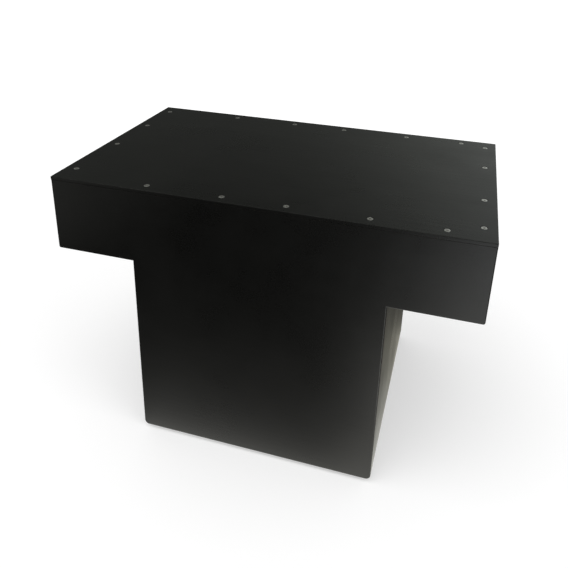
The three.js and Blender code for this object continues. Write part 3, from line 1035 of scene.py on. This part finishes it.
def finish_tree(tree, geometry, material):
    """Ends a tree with real geometry in its material, and says what goes into it."""
    real = add(tree, "GeometryNodeRealizeInstances", {"Geometry": geometry}).outputs[0]
    coated = add(tree, "GeometryNodeSetMaterial", {"Geometry": real, "Material": material}).outputs[0]
    add(tree, "NodeGroupOutput", {0: coated})
    print("Tree:", tree.name, "with", [item.name for item in tree.interface.items_tree])


def grown(name, places, tree, values):
    """Runs a tree on points at these places and keeps the result as a plain mesh."""
    start = bpy.data.meshes.new("places")
    start.from_pydata(places, [], [])
    piece = put(name, start)
    run = piece.modifiers.new(name, "NODES")
    run.node_group = tree
    for item in tree.interface.items_tree:
        if item.item_type == "SOCKET" and item.in_out == "INPUT" and item.name in values:
            run[item.identifier] = values[item.name]
    return settle(piece)


print("Tree helpers: new_tree, vector, finish_tree, grown")

# %% A tree that drives screws
driving, given = new_tree(
    "driven_screws",
    {"Screw": "Object", "Lean": "Float", "Sink": "Float", "Seed": "Int", "Metal": "Material"},
)


def chance(least, most, seed):
    """A random vector for each point."""
    limits = {0: least, 1: most, "Seed": seed}
    return add(driving, "FunctionNodeRandomValue", limits, data_type="FLOAT_VECTOR").outputs[0]


other_way = math_node(driving, "MULTIPLY", given["Lean"], -1.0)
least, most = vector(driving, other_way, other_way), vector(driving, given["Lean"], given["Lean"], math.tau)
angles = chance(least, most, given["Seed"])
deepest = vector(driving, z=math_node(driving, "MULTIPLY", given["Sink"], -1.0))
sink = chance(deepest, (0.0, 0.0, 0.0), math_node(driving, "ADD", given["Seed"], 1.0))
sunk = add(driving, "GeometryNodeSetPosition", {"Geometry": given["Start"], "Offset": sink}).outputs[0]
head = add(driving, "GeometryNodeObjectInfo", {"Object": given["Screw"]}).outputs["Geometry"]
driven = {"Points": sunk, "Instance": head, "Rotation": angles}
finish_tree(driving, add(driving, "GeometryNodeInstanceOnPoints", driven).outputs[0], given["Metal"])

# %% Drive the eighteen plate screws
SCREW_LEAN = math.radians(1.2)
SCREW_SINK = 0.06 * MM


def drive(name, model, places, finish, seed, lean=0.0, sink=0.0):
    """Sets copies of a model on these places, and takes the model away."""
    values = {"Screw": model, "Lean": lean, "Sink": sink, "Seed": seed, "Metal": finish}
    piece = grown(name, places, driving, values)
    bpy.data.objects.remove(model, do_unlink=True)
    return piece


plate_screws = drive(
    "zinc_plate_screws", countersunk, screw_places, zinc, seed=7, lean=SCREW_LEAN, sink=SCREW_SINK
)
hang(plate_screws, "screw_metal", *screw_nodes)

# %% [markdown]
# ## The snares
#
# Under the plate, each side has a set of snare wires: ten strands of fine wire, each wound into a tight
# coil and soldered to a strip, which a clamp holds on a wooden bar. The strands rise until they just touch
# the plate and rattle when it is struck. A wound strand is a helix, which Geometry Nodes make from a Spiral
# curve and a small round profile, with few sides because there are hundreds of turns. The ten strands are
# copies on a line, each with a turn of its own about its axis.

# %% The tree of wound strands
COIL_STEPS = 8
WIRE_SIDES = 5

winding, given = new_tree(
    "wound_strands",
    {
        "Strands": "Int", "Pitch": "Float", "Length": "Float", "Rise": "Float", "Coil radius": "Float",
        "Wire radius": "Float", "Turn length": "Float", "Seed": "Int", "Metal": "Material",
    },
)
squares = [math_node(winding, "POWER", given[label], 2.0) for label in ("Length", "Rise")]
reach = math_node(winding, "SQRT", math_node(winding, "ADD", *squares))
coil = add(winding, "GeometryNodeCurveSpiral", {
    "Resolution": COIL_STEPS,
    "Rotations": math_node(winding, "DIVIDE", reach, given["Turn length"]),
    "Start Radius": given["Coil radius"],
    "End Radius": given["Coil radius"],
    "Height": reach,
}).outputs[0]
wire = add(winding, "GeometryNodeCurvePrimitiveCircle", {
    "Resolution": WIRE_SIDES, "Radius": given["Wire radius"],
}).outputs[0]
strand = add(winding, "GeometryNodeCurveToMesh", {
    "Curve": coil, "Profile Curve": wire, "Fill Caps": True,
}).outputs[0]

gaps = math_node(winding, "SUBTRACT", given["Strands"], 1.0)
width = math_node(winding, "MULTIPLY", given["Pitch"], gaps)
line = add(winding, "GeometryNodeMeshLine", {
    "Count": given["Strands"],
    "Start Location": vector(winding, y=math_node(winding, "MULTIPLY", width, -0.5)),
    "Offset": vector(winding, y=given["Pitch"]),
}).outputs[0]
full_turn = {2: 0.0, 3: math.tau, "Seed": given["Seed"]}
spin = add(winding, "FunctionNodeRandomValue", full_turn, data_type="FLOAT")
spun = add(winding, "FunctionNodeEulerToRotation", {0: vector(winding, z=spin.outputs[1])}).outputs[0]
laid_flat = math_node(winding, "ARCTAN2", given["Length"], given["Rise"])
laid = add(winding, "FunctionNodeEulerToRotation", {0: vector(winding, y=laid_flat)}).outputs[0]
both = add(winding, "FunctionNodeRotateRotation", {0: spun, 1: laid}, rotation_space="GLOBAL").outputs[0]
strands = add(winding, "GeometryNodeInstanceOnPoints", {"Points": line, "Instance": strand, "Rotation": both})
finish_tree(winding, strands.outputs[0], given["Metal"])

# %% The strips, the strands and the clamps
STRAND_COUNT = 10
STRAND_PITCH = 5 * MM
STRAND_LENGTH = 80 * MM
STRAND_HALF = 1.0 * MM  # from a strand's middle to the plate
COIL_RADIUS = 0.78 * MM
WIRE_RADIUS = 0.2 * MM
TURN_LENGTH = 0.95 * MM
STRAND_SEEDS = {"left": 3, "right": 5}
STRIP_LOW, STRIP_HIGH = 0.3 * MM, 1.5 * MM  # over the bar
STRIP_OVERHANG = 3 * MM
STRIP_BREAK = 0.3 * MM
CLAMP_BREAK = 0.35 * MM
CLAMP_HOLE = 1.8 * MM
DRILL_TIP, DRILL_END = -4 * MM, 6 * MM
CLAMP_SCREWS = {
    word: [f"{word}_snare_screw_{end}" for end in ("front", "rear")] for word in ("left", "right")
}

drill_side = [(0, DRILL_TIP), (CLAMP_HOLE, DRILL_TIP), (CLAMP_HOLE, DRILL_END), (0, DRILL_END)]
drill = turned("drill", drill_side, sides=24)
for side, word in ((-1, "left"), (1, "right")):
    wires = word + "_snare_wires"
    clamp_low, clamp_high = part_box(word + "_snare_clamp")
    bar_low, bar_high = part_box(word + "_snare_bar")
    bar_half = (bar_high[0] - bar_low[0]) / 2
    middle = ((bar_low[0] + bar_high[0]) / 2, (clamp_low[1] + clamp_high[1]) / 2, bar_high[2])
    facing = Matrix.Identity(4) if side > 0 else Matrix.Rotation(math.pi, 4, "Z")
    home = Matrix.Translation(middle) @ facing

    begin = (bar_half + STRIP_OVERHANG / 2, 0, (STRIP_LOW + STRIP_HIGH) / 2)
    coils = grown(f"wound_{word}_snare_strands", [], winding, {
        "Strands": STRAND_COUNT,
        "Pitch": STRAND_PITCH,
        "Length": STRAND_LENGTH,
        "Rise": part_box(wires)[1][2] - bar_high[2] - STRAND_HALF - begin[2],
        "Coil radius": COIL_RADIUS,
        "Wire radius": WIRE_RADIUS,
        "Turn length": TURN_LENGTH,
        "Seed": STRAND_SEEDS[word],
        "Metal": steel,
    })
    coils.data.transform(home @ Matrix.Translation(begin))
    smooth(coils, sharp=60)
    hang(coils, "snare_steel", wires)

    half = (clamp_high[1] - clamp_low[1]) / 2
    inner = -(clamp_high[0] - clamp_low[0]) + bar_half
    strip = board(
        f"pressed_{word}_snare_strip", straight((inner, STRIP_LOW), (bar_half + STRIP_OVERHANG, STRIP_HIGH)),
        -half, half, lambda a, b: STRIP_BREAK, widest=STRIP_BREAK,
    )
    front_box, rear_box = [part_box(node) for node in CLAMP_SCREWS[word]]
    reach = abs(front_box[0][1] + front_box[1][1] - rear_box[0][1] - rear_box[1][1]) / 4
    cut(strip, copies(drill, [((inner + bar_half) / 2, place, 0) for place in (-reach, reach)]))
    strip.data.transform(home)
    dress(strip, steel)
    hang(strip, "snare_steel", wires)

    clamp = softened(f"pressed_{word}_snare_clamp", word + "_snare_clamp", CLAMP_BREAK, shortest=5 * MM)
    dress(clamp, steel)
    hang(clamp, "snare_steel", word + "_snare_clamp")

# %% The clamps' screws
CLAMP_HEAD_TALL = 2 * MM
PAN_SIDE = (  # the head's side, as shares of its radius and of its height
    (0, 1), (0.45, 0.97), (0.78, 0.8), (0.95, 0.48), (1, 0.12), (0.97, 0),
)


def pan_screw(name, radius, head, height, length):
    """A pan-head screw whose head sits on height zero."""
    side = [(out * head, up * height) for out, up in PAN_SIDE]
    side += [(radius, 0), (radius, radius - length), (0, -length)]
    driver = cross_bit(reach=0.58 * head, width=0.28 * head, depth=0.75 * height, tip=0.45)
    driver.transform(Matrix.Translation((0, 0, height)))
    return screw(name, side, driver)


clamp_screw = pan_screw(
    "pan_head_screw", radius=1.5 * MM, head=3 * MM, height=CLAMP_HEAD_TALL, length=14 * MM
)
clamp_nodes = [*CLAMP_SCREWS["left"], *CLAMP_SCREWS["right"]]
clamp_places = [over(node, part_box(node)[1][2] - CLAMP_HEAD_TALL) for node in clamp_nodes]
clamp_screws = drive("zinc_snare_screws", clamp_screw, clamp_places, zinc, seed=11)
hang(clamp_screws, "screw_metal", *clamp_nodes)

# %% [markdown]
# ## The feet
#
# Four small rubber feet keep the drum off the floor. Such a foot is moulded as a short cone with a soft
# edge, a flat sole and a well for the screw's head. It is turned from one closed profile, because a ring
# has no pole on its axis and the hole goes right through. The same tree that drove the plate's screws sets
# the feet and their screws on their four places.

# %% The rubber feet
FOOT_SIDES = 48
FOOT_WELL = 5 * MM
FOOT_HOLE = 2.05 * MM
FOOT_SHELF = 2.6 * MM  # the height of the well's floor, on which the screw's head sits

low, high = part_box("foot_front_left")
wide, tall = (high[0] - low[0]) / 2, high[2]
sole = 0.9 * wide
foot_side = [
    (FOOT_WELL + 0.35 * MM, 0),
    (sole - 0.9 * MM, 0),
    (sole - 0.3 * MM, 0.12 * MM),
    (sole + 0.02 * MM, 0.45 * MM),
    (sole + 0.12 * MM, 0.9 * MM),
    (wide - 0.12 * MM, tall - 0.7 * MM),
    (wide - 0.2 * MM, tall - 0.25 * MM),
    (wide - 0.6 * MM, tall),
    (FOOT_HOLE + 0.3 * MM, tall),
    (FOOT_HOLE, tall - 0.3 * MM),
    (FOOT_HOLE, FOOT_SHELF + 0.2 * MM),
    (FOOT_HOLE + 0.2 * MM, FOOT_SHELF),
    (FOOT_WELL - 0.3 * MM, FOOT_SHELF),
    (FOOT_WELL, FOOT_SHELF - 0.3 * MM),
    (FOOT_WELL, 0.3 * MM),
]
moulded = smooth(put("moulded_foot", turned("moulded_foot", foot_side, FOOT_SIDES, ring=True)), sharp=50)
feet = drive("moulded_feet", moulded, [over("foot_" + word, 0) for word in LEG_CORNERS], rubber, seed=2)
hang(feet, "foot_rubber", *["foot_" + word for word in LEG_CORNERS])

# %% The screws of the feet
FOOT_HEAD_TALL = 1.6 * MM

low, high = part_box("foot_screw_front_left")
length = high[2] - low[2] - FOOT_HEAD_TALL
foot_screw = pan_screw(
    "foot_pan_screw", radius=1.75 * MM, head=3.8 * MM, height=FOOT_HEAD_TALL, length=length
)
foot_screw.data.transform(Matrix.Rotation(math.pi, 4, "X"))
foot_screw_places = [over("foot_" + word, low[2] + FOOT_HEAD_TALL) for word in LEG_CORNERS]
foot_screws = drive("zinc_foot_screws", foot_screw, foot_screw_places, zinc, seed=4)
hang(foot_screws, "screw_metal", *["foot_screw_" + word for word in LEG_CORNERS])

# %% [markdown]
# ## Count the triangles
#
# The dressed drum must be as large as its CAD model. The last cell counts the triangles of every piece that
# is shown.

# %% Count the triangles shown
bpy.context.view_layer.update()
triangles = sum(
    len(face.vertices) - 2
    for piece in bpy.data.objects
    if piece.type == "MESH" and not piece.hide_render
    for face in piece.data.polygons
)
print("Triangles shown:", triangles)
